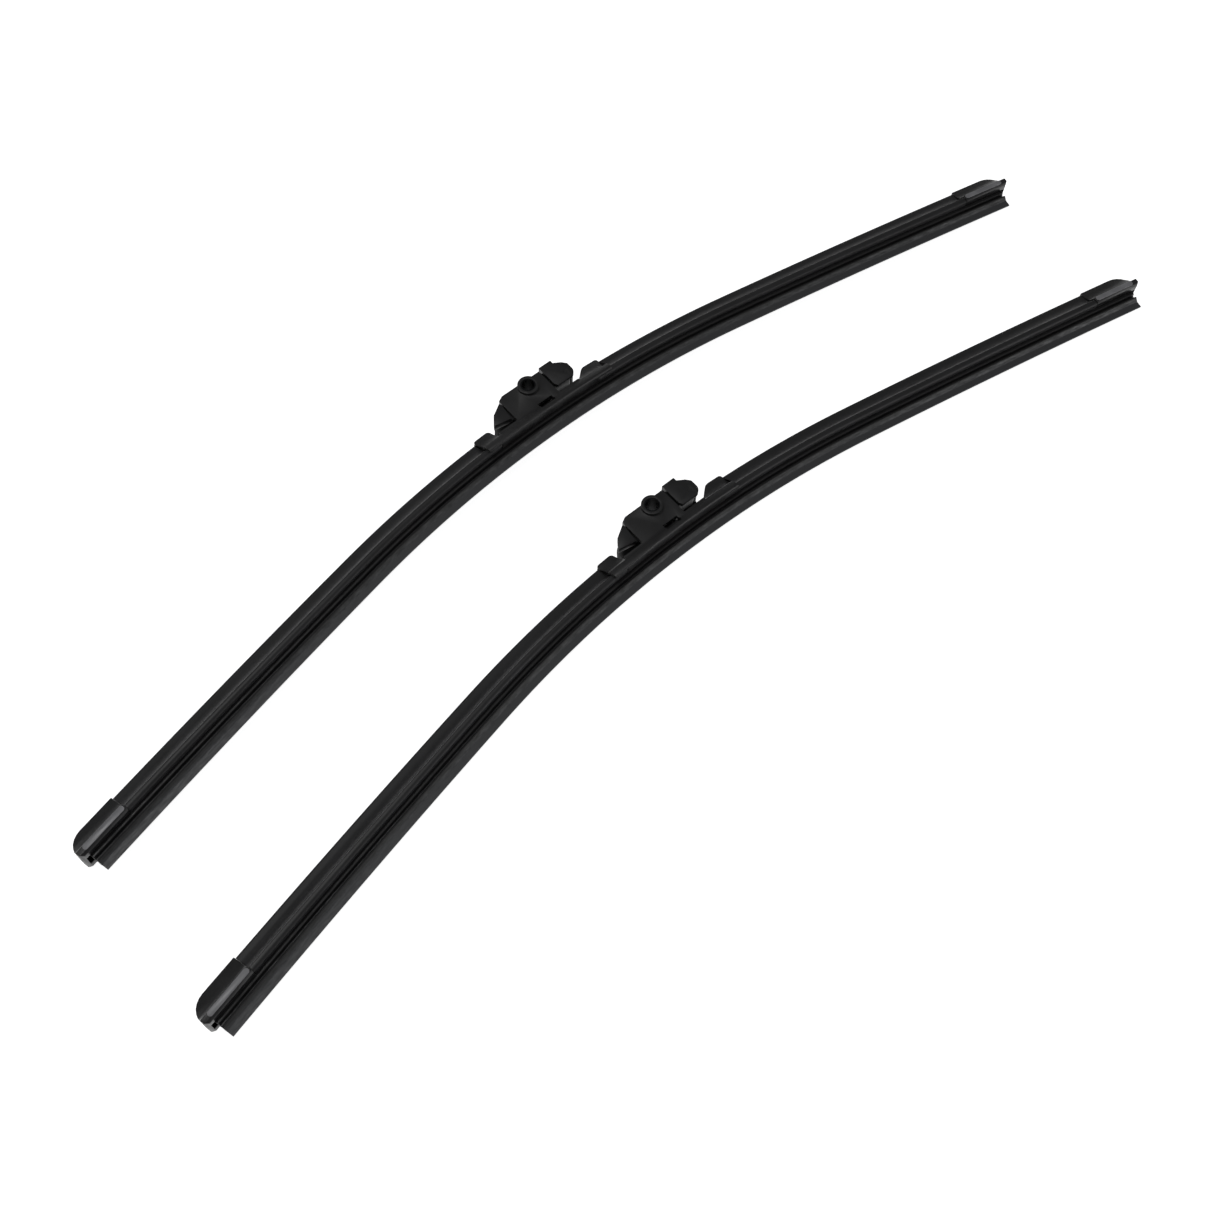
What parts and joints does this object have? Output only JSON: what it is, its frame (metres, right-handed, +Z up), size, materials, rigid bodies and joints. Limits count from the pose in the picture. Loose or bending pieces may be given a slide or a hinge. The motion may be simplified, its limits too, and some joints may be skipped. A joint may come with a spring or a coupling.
{
  "type": "windshield wiper blade pair",
  "caption": "Pair of bowed flat windshield wiper blades with rubber squeegees, soft finned spoilers, end caps and tilting arm adapters, lying side by side.",
  "frame": {"origin": "middle of the pair's outline, on the surface that the blades lie on", "axes": "+X along the blades, +Y from the wiping lips towards the connectors, +Z up from the surface, across the blades"},
  "size_m": [0.6, 0.174, 0.0188],
  "materials": {
    "wiping_rubber": "graphite-coated, satin",
    "spoiler_rubber": "matte extruded",
    "black_plastic": "fine moulded texture, satin",
    "rail_steel": "black coated spring steel",
    "bare_steel": "drawn steel"
  },
  "bodies": {
    "driver_blade": {"driver_squeegee": "wiping_rubber", "driver_spring_rail_front": "rail_steel", "driver_spring_rail_back": "rail_steel", "driver_spoiler_left": "spoiler_rubber", "driver_spoiler_right": "spoiler_rubber", "driver_connector_base": "black_plastic", "driver_rail_bridge": "bare_steel", "driver_pivot_bush": "bare_steel", "driver_rail_clip_left": "bare_steel", "driver_rail_clip_right": "bare_steel"},
    "driver_adapter_body": {"driver_adapter": "black_plastic", "driver_cover_hinge_pin": "bare_steel"},
    "driver_cover_body": {"driver_locking_cover": "black_plastic"},
    "driver_cap_left_body": {"driver_end_cap_left": "black_plastic"},
    "driver_cap_right_body": {"driver_end_cap_right": "black_plastic"},
    "passenger_blade": {"passenger_squeegee": "wiping_rubber", "passenger_spring_rail_front": "rail_steel", "passenger_spring_rail_back": "rail_steel", "passenger_spoiler_left": "spoiler_rubber", "passenger_spoiler_right": "spoiler_rubber", "passenger_connector_base": "black_plastic", "passenger_rail_bridge": "bare_steel", "passenger_pivot_bush": "bare_steel", "passenger_rail_clip_left": "bare_steel", "passenger_rail_clip_right": "bare_steel"},
    "passenger_adapter_body": {"passenger_adapter": "black_plastic", "passenger_cover_hinge_pin": "bare_steel"},
    "passenger_cover_body": {"passenger_locking_cover": "black_plastic"},
    "passenger_cap_left_body": {"passenger_end_cap_left": "black_plastic"},
    "passenger_cap_right_body": {"passenger_end_cap_right": "black_plastic"}
  },
  "joints": [
    {"name": "driver_adapter_tilt", "type": "hinge", "parent": "driver_blade", "child": "driver_adapter_body", "pos_m": [0.00564, -0.01254, 0.0094], "axis": [0, 0, 1], "range_deg": [-8, 8]},
    {"name": "driver_cover_open", "type": "hinge", "parent": "driver_adapter_body", "child": "driver_cover_body", "pos_m": [0.0265, -0.01762, 0.0094], "axis": [0, 0, -1], "range_deg": [0, 60]},
    {"name": "driver_cap_left_pull", "type": "slide", "parent": "driver_blade", "child": "driver_cap_left_body", "axis": [-0.9767, -0.2146, 0], "range_m": [0, 0.035]},
    {"name": "driver_cap_right_pull", "type": "slide", "parent": "driver_blade", "child": "driver_cap_right_body", "axis": [0.9767, -0.2146, 0], "range_m": [0, 0.035]},
    {"name": "passenger_adapter_tilt", "type": "hinge", "parent": "passenger_blade", "child": "passenger_adapter_body", "pos_m": [0.00564, 0.08146, 0.0094], "axis": [0, 0, 1], "range_deg": [-8, 8]},
    {"name": "passenger_cover_open", "type": "hinge", "parent": "passenger_adapter_body", "child": "passenger_cover_body", "pos_m": [0.0265, 0.07638, 0.0094], "axis": [0, 0, -1], "range_deg": [0, 60]},
    {"name": "passenger_cap_left_pull", "type": "slide", "parent": "passenger_blade", "child": "passenger_cap_left_body", "axis": [-0.9767, -0.2146, 0], "range_m": [0, 0.035]},
    {"name": "passenger_cap_right_pull", "type": "slide", "parent": "passenger_blade", "child": "passenger_cap_right_body", "axis": [0.9767, -0.2146, 0], "range_m": [0, 0.035]},
    {"name": "passenger_lift", "type": "slide", "parent": "driver_blade", "child": "passenger_blade", "axis": [0, 0, 1], "range_m": [0, 0.3]}
  ]
}
